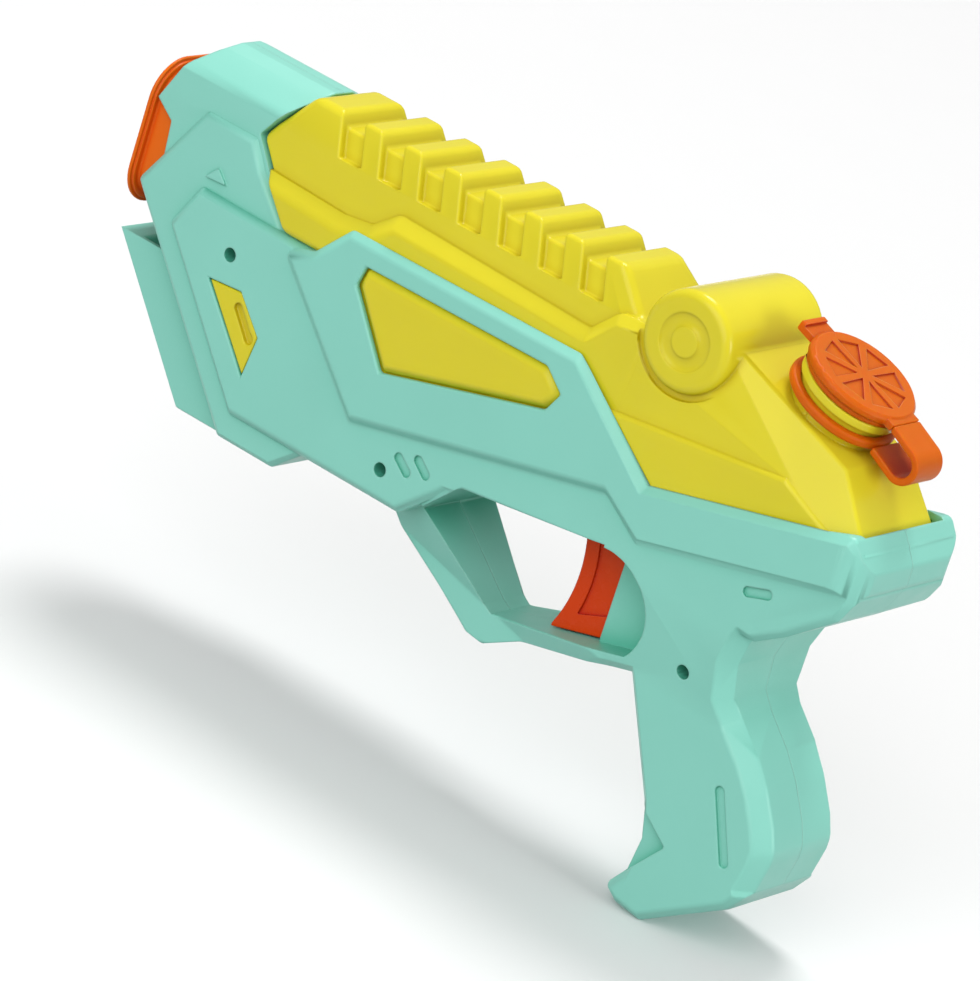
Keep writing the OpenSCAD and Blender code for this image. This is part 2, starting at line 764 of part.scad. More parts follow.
// Section of the rail block: half width h at the top, leaning out down to the slots' foot
module rail_section(h, top) {
    slot_half = h + rail_lean * (top - rail_slot_foot);
    foot_half = slot_half + rail_flare;
    polygon([[-foot_half, rail_foot], [foot_half, rail_foot], [slot_half, rail_slot_foot], [h, top],
             [-h, top], [-slot_half, rail_slot_foot]]);
}

// Rail with leaning slots across it
module rail() {
    intersection() {
        side(-tank_half, tank_half) polygon(rail_outline);
        difference() {
            across(front(30), back(67.5)) rail_section(rail_top_half, rail_top);
            for (k = [0 : slot_count - 1]) difference() {
                translate([slot_first + k * slot_pitch, 0, rail_top]) rotate([0, -slot_lean, 0])
                    translate([0, -tank_half, -2 * slot_width])
                        cube([slot_width * cos(slot_lean), tank_width, 4 * slot_width]);
                across(front(30), back(67.5)) rail_section(slot_floor_half, slot_floor);
                translate([front(0), -tank_half, rail_foot]) cube([overall_length, tank_width,
                                                                   rail_slot_foot - rail_foot]);
            }
        }
    }
}

// Half profile of the round boss as [radius, length], with a soft rim and a ring groove
module boss_profile() {
    half_length = boss_length / 2;
    difference() {
        intersection() {
            square([boss_r, half_length]);
            offset(r = boss_round, $fn = bevel_fn) offset(delta = -boss_round)
                translate([-boss_r, -boss_r]) square([2 * boss_r, boss_r + half_length]);
        }
        translate([boss_ring_r, half_length]) scale([1, boss_ring_depth / boss_ring_half])
            circle(r = boss_ring_half, $fn = bevel_fn);
    }
}

// Round boss across the tank
module boss_ends() {
    translate([boss_x, 0, boss_z]) for (s = [0, 1]) mirror([0, s, 0]) rotate([-90, 0, 0])
        rotate_extrude() boss_profile();
}

// The children on the right side and mirrored to the left
module for_both() {
    for (s = [0, 1]) mirror([0, s, 0]) children();
}

// Block with rounded edges through corners on both sides
module rounded_block(corners) {
    hull() for (p = corners, s = [-1, 1]) translate([p.x, s * p.y, p.z]) sphere(r = rear_round, $fn = rear_fn);
}

module water_tank() {
    color(yellow) difference() {
        union() {
            difference() {
                union() {
                    intersection() {
                        whole_panel(tank_half, shoulder) polygon(shoulder_outline);
                        side(-tank_half, tank_half) polygon(tank_outline);
                        for_both() linear_extrude(2 * barrel_height)
                            polygon(concat([[back(67.5), 0], [front(30), 0]], tank_taper));
                    }
                    rounded_block(rear_corners);
                    rounded_block(rear_sill);
                    rail();
                }
                for (s = [-1, 1]) translate([boss_x, s * boss_seat_half, boss_z]) rotate([-90 * s, 0, 0])
                    cylinder(h = 10, r = boss_seat_r);
            }
            boss_ends();
            whole_panel(pad_half, pad_bevel) offset(delta = -fit) polygon(window_outline);
            at_neck() translate([0, 0, -5]) cylinder(h = neck_height + 5, r = neck_r);
            at_neck() translate([0, 0, neck_height - collar_t]) cylinder(h = collar_t, r = collar_r);
            at_pump() translate([port_at, port_y, spout_low])
                cylinder(h = spout_high - spout_low, r = spigot_r);
        }
        tank_hollow();
        at_neck() translate([0, 0, -12]) cylinder(h = neck_height + 20, r = neck_bore_r);
        at_pump() translate([port_at, port_y, spout_low - 1])
            cylinder(h = spout_high - spout_low + 4, r = pipe_bore_r);
    }
}

// Water space of the tank
module tank_hollow() {
    lower_half = tank_half - shoulder - tank_wall / 2;
    side(-lower_half, lower_half) offset(delta = -tank_wall - shoulder / 2) polygon(tank_outline);
    rail_roof = slot_floor - 1.5 * tank_wall;
    intersection() {
        side(-tank_half, tank_half) polygon([
            [front(54.5), up(4)], [front(58), rail_roof], [back(98.5), rail_roof], [back(88.5), up(18)],
            [back(86.5), up(4)]]);
        across(front(30), back(67.5)) rail_section(slot_floor_half - tank_wall, rail_roof);
    }
    tail_wall = 1.6 * tank_wall;
    tail_half = rear_half + rear_round - tail_wall;
    ridge_half = rear_top_half + rear_round - tail_wall;
    intersection() {
        side(-tank_half, tank_half) polygon([
            [back(89), up(15.5)], [back(66.5), up(27)], [back(22), up(10.6)], [back(13), up(-1.5)],
            [back(62.5), up(-12.5)], [back(89), up(-5)]]);
        across(back(90), tail_x) polygon([
            [-tail_half, up(-20)], [tail_half, up(-20)], [tail_half, up(0)], [ridge_half, up(28)],
            [-ridge_half, up(28)], [-tail_half, up(0)]]);
    }
}

// Outline of the bezel across the barrel, drawn in by d
module bezel_section(d) {
    core = 2 * bezel_corner_r;
    offset(r = bezel_corner_r - d) square([bezel_width - core, bezel_height - core], center = true);
}

// A slice of the bezel between two distances back from the muzzle face
module bezel_slice(d0, d1, inset) {
    across(front(d0), front(d1)) translate([0, up(bezel_rise)]) bezel_section(inset);
}

module muzzle_bezel() {
    rim = bezel_front + bezel_flange;
    dish_floor = bezel_front + bezel_dish;
    color(orange) difference() {
        union() {
            bezel_slice(bezel_front, rim, 1);
            bezel_slice(bezel_front + 0.7, rim - 0.7, 0);
            bezel_slice(rim - 0.5, bezel_back, bezel_step);
        }
        along_barrel(0, dish_floor, bezel_dish_r);
        translate([front(dish_floor - 0.1), 0, barrel_height]) rotate([0, 90, 0])
            cylinder(h = jet_front - dish_floor + 0.1, r1 = bezel_dish_r * 0.7, r2 = jet_r_out + 1.5);
        along_barrel(jet_front - 0.5, bezel_back + 1, jet_r_out + fit / 2);
        across(front(jet_front + 2), front(bezel_back + 1)) translate([0, barrel_height]) difference() {
            translate([0, bezel_rise]) bezel_section(bezel_step + wall);
            circle(r = jet_r_out + wall);
        }
    }
}

// Jet: orifice at the front, hose barb at the back
module nozzle_jet() {
    color(natural) difference() {
        union() {
            along_barrel(jet_front, jet_flange_at + 1, jet_r_out);
            along_barrel(jet_flange_at, jet_flange_at + 1.6, jet_r_out + 2);
            along_barrel(jet_flange_at + 1, jet_end, pipe_bore_r + 0.3);
        }
        along_barrel(jet_front + 4, jet_end + 1, pipe_bore_r - 0.3);
        along_barrel(jet_front - 1, jet_front + 5, jet_r);
    }
}

module jet_seal() {
    seal_r = (jet_flange_at - bezel_back) / 2 - 0.02;
    color(rubber) translate([front((jet_flange_at + bezel_back) / 2), 0, barrel_height]) rotate([0, 90, 0])
        rotate_extrude() translate([jet_r_out + 0.9, 0]) circle(r = seal_r, $fn = 24);
}

module filler_cap() {
    lip_t = cap_t * 0.36;
    wedge_r = cap_r * 0.74;
    tab_reach = 4.7;
    tab_level = cap_t - 3.2;
    tab_half = 5;
    color(orange) at_neck() translate([0, 0, cap_seat]) difference() {
        union() {
            cylinder(h = lip_t, r = collar_r + 0.3);
            rotate_extrude() polygon([
                [0, lip_t - eps], [cap_r - 0.7, lip_t - eps], [cap_r, lip_t + 0.6], [cap_r, cap_t - 0.9],
                [cap_r - 0.9, cap_t], [0, cap_t]]);
            translate([0, 0, -plug_depth]) cylinder(h = plug_depth + eps, r1 = neck_bore_r - plug_gap - 0.3,
                                                    r2 = neck_bore_r - plug_gap);
            translate([-cap_r - tab_reach, -tab_half, tab_level]) cube([12, 2 * tab_half, 2]);
            translate([-cap_r - tab_reach, -tab_half, tab_level]) cube([1.8, 2 * tab_half, 2.8]);
            translate([cap_r - 3, -strap_width / 2, cap_t - strap_t - 0.5]) cube([4, strap_width, strap_t]);
        }
        translate([0, 0, -plug_depth - 1]) cylinder(h = plug_depth, r = neck_bore_r - plug_gap - 2.2);
        for (k = [0 : 7]) rotate(k * 45 + 22.5) translate([0, 0, cap_t - 0.5]) linear_extrude(1)
            polygon([[2.4, 0], [wedge_r, -wedge_r * 0.3], [wedge_r, wedge_r * 0.3]]);
    }
}

// Strap: a flat band that loops from the ring up to the cap
module cap_strap() {
    cap_level = cap_seat + cap_t - 0.5 - strap_t / 2;
    ring_level = ring_lift + ring_t / 2;
    color(orange) at_neck() side(-strap_width / 2, strap_width / 2) {
        difference() {
            translate([loop_u, loop_w]) circle(r = loop_r + strap_t / 2);
            translate([loop_u, loop_w]) circle(r = loop_r - strap_t / 2);
            translate([loop_u - 20, loop_w - 10]) square([20, 20]);
        }
        band(cap_r + 1.1, cap_level, loop_u, loop_w + loop_r);
        band(ring_r + 0.1, ring_level, loop_u, loop_w - loop_r);
    }
}

// Straight stretch of the strap between two places in its own side view
module band(u0, w0, u1, w1) {
    h = strap_t / 2;
    polygon([[u0, w0 - h], [u1, w1 - h], [u1, w1 + h], [u0, w0 + h]]);
}

module strap_ring() {
    edge = 0.6;
    color(orange) at_neck() translate([0, 0, ring_lift]) rotate_extrude() polygon([
        [neck_r + fit, 0], [ring_r - edge, 0], [ring_r, edge], [ring_r, ring_t - edge],
        [ring_r - edge, ring_t], [neck_r + fit, ring_t]]);
}

// Finger face of the trigger in side view, moved back by d
module trigger_face(d) {
    front_x = floor_x - 8;
    hollow_r = 40;
    low = floor_z(front_x) + 0.5;
    top = up(-34.4);
    difference() {
        polygon([
            [front_x + d, low + d * tan(pump_tilt)],
            [front_x + trigger_depth + 1.2, low + (trigger_depth + 1.2) * tan(pump_tilt)],
            [front_x + trigger_depth + 2.2, up(-52.5)], [front_x + trigger_depth + 1.8, up(-45)],
            [front_x + trigger_depth - 1.4, top], [front_x + d, top]]);
        translate([front_x + 3.2 - hollow_r + d, up(-50)]) circle(r = hollow_r, $fn = 96);
    }
}

module trigger() {
    rim = 4.6;
    color(orange) difference() {
        side(-trigger_half, trigger_half) trigger_face(0);
        for (s = [0, 1]) mirror([0, s, 0]) side(trigger_half - 0.8, trigger_half + 1) intersection() {
            trigger_face(rim);
            translate([0, floor_z(floor_x) + 3]) polygon([
                [floor_x - 20, -20 * tan(pump_tilt)], [floor_x + 40, 40 * tan(pump_tilt) + 8],
                [floor_x + 40, 60], [floor_x - 20, 60]]);
        }
        at_pump() along_pump(-5, 12, rod_r + fit / 2);
    }
}

module piston() {
    groove_at = piston_front + 2;
    color(natural) at_pump() difference() {
        union() {
            along_pump(-4.8, piston_front + 1, rod_r);
            along_pump(piston_front, piston_front + piston_length, pump_bore_r - run);
        }
        difference() {
            along_pump(groove_at, groove_at + 2, pump_bore_r + 1);
            along_pump(groove_at - 1, groove_at + 3, pump_bore_r - 1.7);
        }
    }
}

module piston_seal() {
    seal_r = 0.8;
    color(rubber) at_pump() translate([piston_front + 3, 0, 0]) rotate([0, 90, 0])
        rotate_extrude() translate([pump_bore_r - 0.05 - seal_r, 0]) circle(r = seal_r, $fn = 24);
}

module pump_cylinder() {
    color(natural) at_pump() difference() {
        union() {
            along_pump(cylinder_front, cylinder_back, pump_r);
            for (s = [-1, 1]) translate([port_at, s * port_y, 0]) cylinder(h = spigot_top, r = spigot_r);
        }
        along_pump(cylinder_front - 1, cylinder_floor, pump_bore_r);
        for (s = [-1, 1]) translate([port_at, s * port_y, 0]) {
            translate([0, 0, 1]) cylinder(h = spigot_top, r = pipe_bore_r);
            translate([0, 0, chamber_low]) cylinder(h = chamber_high - chamber_low, r = spigot_r - 0.6);
        }
    }
}

// Ring that closes the front of the pump round the rod
module pump_gland() {
    color(natural) at_pump() difference() {
        along_pump(cylinder_front + 0.1, cylinder_front + gland_t, pump_bore_r - 0.05);
        along_pump(cylinder_front - 1, cylinder_front + gland_t + 1, rod_r + run);
    }
}

// Helix of the return spring between the piston and the floor of the pump
spring_coil_r = pump_bore_r - spring_wire_r - 0.9;
spring_span = cylinder_floor - spring_front - 2 * spring_wire_r - 0.4;
function spring_point(t) = [
    spring_front + spring_wire_r + 0.2 + spring_span * t,
    spring_coil_r * cos(360 * spring_turns * t), spring_coil_r * sin(360 * spring_turns * t)
];
spring_path = [for (i = [0 : spring_turns * 8]) spring_point(i / (spring_turns * 8))];
spring_gap = min([for (i = [0 : len(spring_path) - 9]) norm(spring_path[i + 8] - spring_path[i])])
             - 2 * spring_wire_r;
echo(spring_gap = spring_gap);

module return_spring() {
    color(steel) at_pump() wire(spring_path, [1, 0, 0], spring_wire_r, 6);
}

// Umbrella valve: a soft disc on a stem, held in a spigot's chamber
module umbrella(y, turned) {
    disc_r = spigot_r - 0.7;
    at_pump() translate([port_at, y, (chamber_low + chamber_high) / 2]) rotate([turned ? 180 : 0, 0, 0]) {
        cylinder(h = 0.6, r1 = disc_r, r2 = disc_r - 0.5);
        translate([0, 0, -1]) cylinder(h = 1 + eps, r = 0.5);
    }
}

module inlet_valve() {
    color(rubber) umbrella(port_y, true);
}

module outlet_valve() {
    color(rubber) umbrella(-port_y, false);
}

// Elbow that turns the outlet forward, with a barb for the hose
module outlet_elbow() {
    barb_r = pipe_bore_r + 0.3;
    bore = pipe_bore_r - 0.3;
    low = spigot_top - 4;
    color(natural) at_pump() translate([0, -port_y, 0]) difference() {
        union() {
            translate([port_at, 0, low]) cylinder(h = elbow_z - low + elbow_r, r = elbow_r);
            along_elbow(port_at - 10, port_at, elbow_r - 0.8);
            along_elbow(elbow_barb, port_at - 9, barb_r);
        }
        translate([port_at, 0, low - 1]) cylinder(h = spigot_top - low + 1.1, r = spigot_r + fit / 2);
        translate([port_at, 0, low]) cylinder(h = elbow_z - low, r = bore);
        along_elbow(elbow_barb - 1, port_at, bore);
    }
}

module along_elbow(x0, x1, r) {
    translate([x0, 0, elbow_z]) rotate([0, 90, 0]) cylinder(h = x1 - x0, r = r);
}

// Short hose from the tank's spout to the pump's inlet
module inlet_hose() {
    sleeve_r = spigot_r + 0.1;
    low = spigot_top - 5;
    high = spout_low + 5;
    color(clear_vinyl) at_pump() translate([port_at, port_y, low]) difference() {
        cylinder(h = high - low, r = sleeve_r + hose_wall);
        translate([0, 0, -1]) cylinder(h = high - low + 2, r = sleeve_r);
    }
}

module outlet_hose() {
    color(clear_vinyl) hose(hose_route, [0, 1, 0], hose_r, hose_bore_r, 8);
}

left_shell();
right_shell();
water_tank();
left_inlay();
right_inlay();
shell_screws();
muzzle_bezel();
nozzle_jet();
jet_seal();
filler_cap();
cap_strap();
strap_ring();
trigger();
piston();
piston_seal();
pump_cylinder();
pump_gland();
return_spring();
inlet_valve();
outlet_valve();
outlet_elbow();
inlet_hose();
outlet_hose();
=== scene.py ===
import json
from math import cos, radians, sin

import bmesh
import bpy
from mathutils import Matrix, Vector
from mathutils.bvhtree import BVHTree
from mathutils.kdtree import KDTree


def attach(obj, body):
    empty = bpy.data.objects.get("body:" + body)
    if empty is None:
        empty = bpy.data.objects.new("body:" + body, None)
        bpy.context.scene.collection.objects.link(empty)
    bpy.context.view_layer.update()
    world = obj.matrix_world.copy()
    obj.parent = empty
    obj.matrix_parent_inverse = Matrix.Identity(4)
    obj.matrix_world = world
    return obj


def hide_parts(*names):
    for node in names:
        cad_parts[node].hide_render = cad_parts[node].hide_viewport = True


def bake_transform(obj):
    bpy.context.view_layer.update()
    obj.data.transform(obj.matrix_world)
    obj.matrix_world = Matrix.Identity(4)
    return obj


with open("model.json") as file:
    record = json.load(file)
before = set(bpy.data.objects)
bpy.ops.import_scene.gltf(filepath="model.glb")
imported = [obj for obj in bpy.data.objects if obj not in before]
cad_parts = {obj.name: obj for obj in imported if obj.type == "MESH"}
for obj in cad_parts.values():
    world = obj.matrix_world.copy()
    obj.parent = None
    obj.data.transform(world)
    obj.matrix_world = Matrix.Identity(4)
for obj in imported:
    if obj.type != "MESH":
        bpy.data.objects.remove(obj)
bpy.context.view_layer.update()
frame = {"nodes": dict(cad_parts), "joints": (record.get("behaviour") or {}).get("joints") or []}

bl_info = {
    "name": "Toy water squirter",
    "version": (1, 0, 0),
    "blender": (4, 5, 0),
    "location": "View3D > Sidebar > Squirter",
    "description": "Dresses the packed water squirter: moulded shells, blown tank, cap, trigger and stage",
    "category": "Object",
}

MM = 0.001

# Points of a CAD mesh this close are one point
MERGE = 0.004 * MM
# An edge turns sharply above this angle; below it the face is part of a curve
SHARP = radians(24)
# On the rounded mesh, shading breaks at edges that turn more than this
CREASE = SHARP * 1.3
# Faces that turn less than this are one flat face cut into triangles
FLAT = radians(0.8)
# Edges this close to the middle lie at the seam of the two shells: they close up there, and stay crisp
SEAM = 0.12 * MM

# Share of the free width of a face that one rounded edge may take
ROOM = 0.34
# Places along an edge where the free width is measured, and how many faces and how far the measure runs
PROBES = (0.25, 0.5, 0.75)
WALK_FACES = 24
WALK_LENGTH = 20 * MM
SHORTEST_STEP = 1e-7
# Tries to round a piece cleanly; each one makes the rounds beside a fault smaller, down to none
ROUNDS = 14
EASE = 0.6
LEAST_WEIGHT = 0.05
# Shares of the round: how far it may leave the skin, where its skin is sought, and how far a fault reaches
STRAY = 0.45
NEARBY = 0.6
FAULT_REACH = 1.2
SKIN_SLACK = 0.02 * MM
# A face is folded over below this cosine to the skin, unless it is smaller than a sliver in square metres
FOLDED = 0.3
SLIVER = 1e-10

# The strap: lean of the neck that it is on, and its straight stretch with the cuts across it
NECK_TILT = radians(20)
STRAP_STRAIGHT = 9 * MM
STRAP_CUTS = 8

# Plastics: half the spread of the flow clouds, size of the gloss blotches, and paleness of an edge, which is rubbed
# wear and a painted highlight
CLOUD_SPREAD = 0.045
BLOTCH_MM = 6
EDGE_WEAR_AND_HIGHLIGHT_PALE = 0.35
# Cosines between which an edge is drawn paler, as rubbed wear and a painted highlight; and open shares between which
# a nook takes painted shade, with how dark it gets
EDGE_WEAR_AND_HIGHLIGHT_TURN = (0.70, 0.955)
NOOK_SHADE_OPEN = (0.5, 0.95)
NOOK_SHADE_DEPTH = 0.85

# Stage: middle of the squirter in the picture, half the floor, the photo's width and focal length in pixels
MIDDLE = Vector((0.0021, 0.0, 0.077))
FLOOR_HALF = 6.0
PHOTO_WIDTH = 980
PHOTO_FOCAL = 6000
SENSOR_MM = 36.0
# The way that the sky brightens, and its strength at both ends
SKY_WAY = (0.3, -0.1, 0.95)
SKY_STRENGTH = (0.27, 0.57)
# Each lamp: name, place in metres, width in metres and power in watts.
# The key from above and behind casts the one clear shadow; the others are wide or weak.
LAMPS = (
    ("key", (-0.66, 0.9, 2.89), 1.1, 47.0),
    ("fill", (0.25, -1.7, 1.05), 2.2, 26.0),
    ("tail_light", (1.4, 0.0, 0.45), 0.6, 5.6),
)


def linear(code):
    """sRGB hex to the linear colour that the shaders take."""
    out = []
    for at in (1, 3, 5):
        value = int(code[at:at + 2], 16) / 255
        out.append(value / 12.92 if value <= 0.04045 else ((value + 0.055) / 1.055) ** 2.4)
    return tuple(out)


def length(name, about, default):
    """A size that a user may change, held in metres."""
    return bpy.props.FloatProperty(name=name, description=about, default=default, min=0.0, unit="LENGTH",
                                   precision=5)


def angle(name, about, degrees):
    """An angle that a user may change."""
    return bpy.props.FloatProperty(name=name, description=about, default=radians(degrees), subtype="ANGLE")


def colour(name, about, code):
    """A colour that a user may change."""
    return bpy.props.FloatVectorProperty(name=name, description=about, default=linear(code), size=3,
                                         min=0.0, max=1.0, subtype="COLOR")


class SquirterSizes(bpy.types.PropertyGroup):
    """Edge rounds of the mouldings, and the view."""
    shell_round: length("Shell round", "Edge round of the moulded shells", 0.9 * MM)
    tank_round: length("Tank round", "Edge round of the blown tank", 2.2 * MM)
    trim_round: length("Trim round", "Edge round of the bezel, the cap and the trigger", 0.7 * MM)
    fine_round: length("Fine round", "Edge round of the screws", 0.15 * MM)
    strap_round: length("Strap round", "Edge round of the strap", 0.5 * MM)
    view_distance: length("View distance", "From the camera to the middle of the squirter", 1.578)
    view_azimuth: angle("View azimuth", "Turn of the camera round the squirter", 31.6)
    view_elevation: angle("View elevation", "Height of the camera as an angle", 20.5)
    view_roll: angle("View roll", "Lean of the camera in the photo", 17.9)


class SquirterColours(bpy.types.PropertyGroup):
    """Colours of the mouldings."""
    teal: colour("Teal", "Shells", "#87D2C1")
    yellow: colour("Yellow", "Tank and inlays", "#DED12B")
    orange: colour("Orange", "Cap, strap and ring", "#CE6206")
    bezel: colour("Bezel", "Muzzle bezel", "#EA6C10")
    trigger: colour("Trigger", "Trigger", "#D43E04")
    natural: colour("Natural", "Pump and jet", "#E9E7DF")
    zinc: colour("Zinc", "Screws and spring", "#B9BCC0")
    rubber: colour("Rubber", "Seals and valves", "#2C2E30")
    vinyl: colour("Vinyl", "Hoses", "#D5DEDC")
    floor: colour("Floor", "Studio floor", "#EBEBEB")


def sizes():
    return bpy.context.scene.squirter_sizes


def colours():
    return bpy.context.scene.squirter_colours


def joint(name):
    return next(one for one in frame["joints"] if one["name"] == name)


def add(tree, kind, inputs=None, **settings):
    """Adds a shader node with its settings; an input given an output socket is linked, else it is set."""
    made = tree.nodes.new(kind)
    for key, value in settings.items():
        setattr(made, key, value)
    for key, value in (inputs or {}).items():
        if isinstance(value, bpy.types.NodeSocket):
            tree.links.new(value, made.inputs[key])
        else:
            made.inputs[key].default_value = value
    return made


def shade(rgb, factor):
    return tuple(min(1.0, c * factor) for c in rgb) + (1.0,)


def painted_nook_shade(rgb):
    """Painted shade for a nook: the moulding's colour squared, fuller and darker, as its own light thrown back there
    would look.
    """
    return tuple(c * c for c in rgb) + (1.0,)


def pale(rgb, amount):
    return tuple(c + (1.0 - c) * amount for c in rgb) + (1.0,)


def bare_material(name):
    """A new material without nodes, and its node tree."""
    mat = bpy.data.materials.new(name)
    mat.use_nodes = True
    mat.node_tree.nodes.clear()
    return mat, mat.node_tree


def moulded(name, rgb, ior, rough, grain_mm, grain_depth_mm, flow_mm, wear_and_highlight, edge_mm, glow=0.0, shine=0.5,
            painted_shade_mm=8.0, seep=(1.0, 0.7, 0.4), seep_mm=2.0):
    """A moulded plastic: faint flow clouds in the colour, mould grain, paler edges drawn as rubbed wear and a painted
    highlight, and painted shade in crevices.
    """
    mat, tree = bare_material(name)
    place = add(tree, "ShaderNodeTexCoord").outputs["Object"]
    clouds = add(tree, "ShaderNodeTexNoise", {"Vector": place, "Scale": 1 / (flow_mm * MM), "Detail": 2.0})
    body = add(tree, "ShaderNodeMix", {
        "Factor": clouds.outputs["Fac"], "A": shade(rgb, 1 - CLOUD_SPREAD), "B": shade(rgb, 1 + CLOUD_SPREAD)},
        data_type="RGBA")
    soft = add(tree, "ShaderNodeBevel", {"Radius": edge_mm * MM}, samples=6)
    face = add(tree, "ShaderNodeNewGeometry")
    turn = add(tree, "ShaderNodeVectorMath", {0: soft.outputs["Normal"], 1: face.outputs["Normal"]},
               operation="DOT_PRODUCT")
    # Paler edges: rubbed wear, and a painted highlight along every edge.
    edge_wear_and_highlight_mask = add(tree, "ShaderNodeMapRange", {
        "Value": turn.outputs["Value"], "From Min": EDGE_WEAR_AND_HIGHLIGHT_TURN[0], "From Max": EDGE_WEAR_AND_HIGHLIGHT_TURN[1],
        "To Min": wear_and_highlight, "To Max": 0.0})
    worn_and_lit_edges = add(tree, "ShaderNodeMix", {
        "Factor": edge_wear_and_highlight_mask.outputs["Result"], "A": body.outputs["Result"], "B": pale(rgb, EDGE_WEAR_AND_HIGHLIGHT_PALE)},
        data_type="RGBA")
    # Painted shade: the colour turns fuller and darker in nooks and crevices, by how closed in they are.
    open_air = add(tree, "ShaderNodeAmbientOcclusion", {"Distance": painted_shade_mm * MM}, samples=6, only_local=True)
    nook_shade_mask = add(tree, "ShaderNodeMapRange", {
        "Value": open_air.outputs["AO"], "From Min": NOOK_SHADE_OPEN[0], "From Max": NOOK_SHADE_OPEN[1],
        "To Min": NOOK_SHADE_DEPTH, "To Max": 0.0})
    skin = add(tree, "ShaderNodeMix", {
        "Factor": nook_shade_mask.outputs["Result"], "A": worn_and_lit_edges.outputs["Result"], "B": painted_nook_shade(rgb)}, data_type="RGBA")
    blotch = add(tree, "ShaderNodeTexNoise", {"Vector": place, "Scale": 1 / (BLOTCH_MM * MM), "Detail": 3.0})
    gloss = add(tree, "ShaderNodeMapRange", {
        "Value": blotch.outputs["Fac"], "From Min": 0.3, "From Max": 0.7, "To Min": rough[0], "To Max": rough[1]})
    grain = add(tree, "ShaderNodeTexNoise", {"Vector": place, "Scale": 1 / (grain_mm * MM), "Detail": 2.0})
    bump = add(tree, "ShaderNodeBump", {
        "Height": grain.outputs["Fac"], "Distance": grain_depth_mm * MM, "Strength": 1.0,
        "Normal": soft.outputs["Normal"]})
    shader = add(tree, "ShaderNodeBsdfPrincipled", {
        "Base Color": skin.outputs["Result"], "Roughness": gloss.outputs["Result"], "IOR": ior,
        "Normal": bump.outputs["Normal"], "Subsurface Weight": glow, "Subsurface Radius": seep,
        "Subsurface Scale": seep_mm * MM, "Specular IOR Level": shine})
    add(tree, "ShaderNodeOutputMaterial", {"Surface": shader.outputs["BSDF"]})
    return mat


def satin_teal_abs():
    # ABS, injection moulded against a fine spark-eroded mould: satin and even. Its edges are drawn paler, as rubbed
    # wear and a painted highlight, and its nooks take painted shade out to 20 mm.
    # The real grain is about 0.08 mm; it is drawn at 0.5 mm so that it shows.
    return moulded("satin_moulded_teal_abs", colours().teal, ior=1.54, rough=(0.36, 0.46), grain_mm=0.5,
                   grain_depth_mm=0.010, flow_mm=40, wear_and_highlight=0.35, edge_mm=0.7, painted_shade_mm=20.0)


def glossy_yellow_pp():
    # Polypropylene, blown against a polished mould: glossy, slightly wavy, and light seeps into it.
    # The waves are the wall's own, about 9 mm long.
    # Its nooks take painted shade within 3 mm.
    return moulded("glossy_blown_yellow_polypropylene", colours().yellow, ior=1.49, rough=(0.14, 0.22), grain_mm=9,
                   grain_depth_mm=0.02, flow_mm=30, wear_and_highlight=0.04, edge_mm=0.9, glow=0.12, shine=0.25, painted_shade_mm=3.0)


def satin_orange_abs():
    # ABS, injection moulded, polished a little more than the shells. Its grain is drawn coarse, as theirs is.
    # Its nooks take painted shade within 2 mm.
    return moulded("satin_moulded_orange_abs", colours().bezel, ior=1.54, rough=(0.28, 0.36), grain_mm=0.5,
                   grain_depth_mm=0.006, flow_mm=25, wear_and_highlight=0.3, edge_mm=0.5, shine=0.15, painted_shade_mm=2.0)


def satin_trigger_abs():
    # The trigger's ABS is the redder batch, and fingers keep it glossy. Its grain is drawn coarse, as the shells' is.
    return moulded("satin_moulded_trigger_abs", colours().trigger, ior=1.54, rough=(0.24, 0.32), grain_mm=0.5,
                   grain_depth_mm=0.006, flow_mm=25, wear_and_highlight=0.25, edge_mm=0.5, shine=0.15)


def soft_orange_pe():
    # Polyethylene, injection moulded: waxy, soft to the eye, and red light seeps furthest into it.
    return moulded("soft_moulded_orange_polyethylene", colours().orange, ior=1.51, rough=(0.34, 0.44), grain_mm=0.6,
                   grain_depth_mm=0.008, flow_mm=20, wear_and_highlight=0.3, edge_mm=0.5, glow=0.5, shine=0.15,
                   seep=(1.0, 0.3, 0.1), seep_mm=5.0)


def natural_pom():
    # Acetal, injection moulded and undyed: milky and slippery.
    return moulded("moulded_natural_acetal", colours().natural, ior=1.48, rough=(0.3, 0.4), grain_mm=0.6,
                   grain_depth_mm=0.006, flow_mm=20, wear_and_highlight=0.1, edge_mm=0.3, glow=0.2)


def moulded_rubber():
    # Nitrile rubber, pressed: black and matt, with a dusty bloom.
    return moulded("pressed_black_rubber", colours().rubber, ior=1.52, rough=(0.65, 0.8), grain_mm=0.4,
                   grain_depth_mm=0.01, flow_mm=6, wear_and_highlight=0.2, edge_mm=0.2)


def zinc_steel():
    # Steel wire and screws, zinc plated: bright, with a faint cloudy bloom about 1.2 mm across.
    mat, tree = bare_material("zinc_plated_steel")
    rgb = colours().zinc
    place = add(tree, "ShaderNodeTexCoord").outputs["Object"]
    bloom = add(tree, "ShaderNodeTexNoise", {"Vector": place, "Scale": 1 / (1.2 * MM), "Detail": 3.0})
    plate = add(tree, "ShaderNodeMix", {
        "Factor": bloom.outputs["Fac"], "A": shade(rgb, 0.85), "B": shade(rgb, 1.1)}, data_type="RGBA")
    gloss = add(tree, "ShaderNodeMapRange", {"Value": bloom.outputs["Fac"], "To Min": 0.22, "To Max": 0.45})
    shader = add(tree, "ShaderNodeBsdfPrincipled", {
        "Base Color": plate.outputs["Result"], "Metallic": 1.0, "Roughness": gloss.outputs["Result"]})
    add(tree, "ShaderNodeOutputMaterial", {"Surface": shader.outputs["BSDF"]})
    return mat


